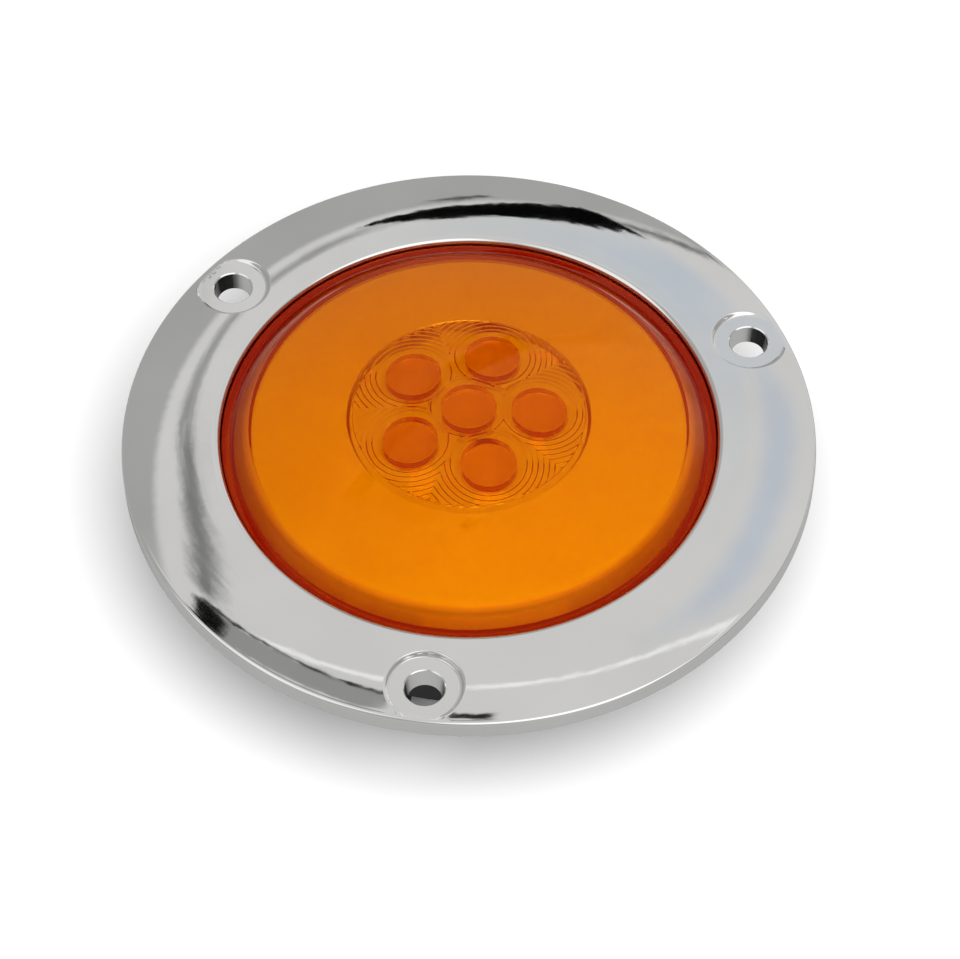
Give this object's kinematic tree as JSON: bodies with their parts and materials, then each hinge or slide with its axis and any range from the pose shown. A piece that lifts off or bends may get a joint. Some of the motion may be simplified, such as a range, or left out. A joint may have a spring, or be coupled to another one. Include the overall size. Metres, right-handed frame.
{
  "type": "round flange-mount trailer lamp",
  "caption": "Round LED trailer lamp with a domed amber lens in a chrome screw-on flange, with a rear housing and plug inlet.",
  "frame": {"origin": "centre of the flange's rear face, in the plane of the vehicle's panel", "axes": "+Z out of the lens along the lamp's axis, -Y down on the vehicle, towards the third screw hole and the cord channel"},
  "size_m": [0.14, 0.14, 0.0442],
  "materials": {
    "chrome_plating": "mirror bright chrome plating on plastic",
    "gasket_foam": "closed-cell foam",
    "amber_lens": "clear moulded amber plastic, polished",
    "seal_rubber": "matte pale silicone",
    "clear_optic": "frosted moulded light guide",
    "reflector_white": "satin white",
    "board_white": "white solder mask",
    "led_phosphor": "silicone",
    "component_black": "moulded package",
    "tinned_metal": "bright tin plating",
    "screw_steel": "zinc plated",
    "black_plastic": "fine moulded grain",
    "potting_resin": "cast epoxy"
  },
  "bodies": {
    "root": {"chrome_flange": "chrome_plating", "panel_gasket": "gasket_foam", "lens": "amber_lens", "lens_seal": "seal_rubber", "glow_ring": "clear_optic", "reflector": "reflector_white", "reflector_cups": "reflector_white", "circuit_board": "board_white", "led_center_1": "led_phosphor", "led_center_2": "led_phosphor", "led_center_3": "led_phosphor", "led_center_4": "led_phosphor", "led_center_5": "led_phosphor", "led_center_6": "led_phosphor", "led_ring_1": "led_phosphor", "led_ring_2": "led_phosphor", "led_ring_3": "led_phosphor", "led_ring_4": "led_phosphor", "led_ring_5": "led_phosphor", "led_ring_6": "led_phosphor", "board_screw_1": "screw_steel", "board_screw_2": "screw_steel", "board_screw_3": "screw_steel", "current_regulator": "component_black", "polarity_diode_running": "component_black", "polarity_diode_turn": "component_black", "load_resistor_1": "component_black", "load_resistor_2": "component_black", "load_resistor_3": "component_black", "smoothing_capacitor": "tinned_metal", "rear_housing": "black_plastic", "potting_resin": "potting_resin", "terminal_ground": "tinned_metal", "terminal_running": "tinned_metal", "terminal_turn": "tinned_metal"}
  },
  "joints": []
}
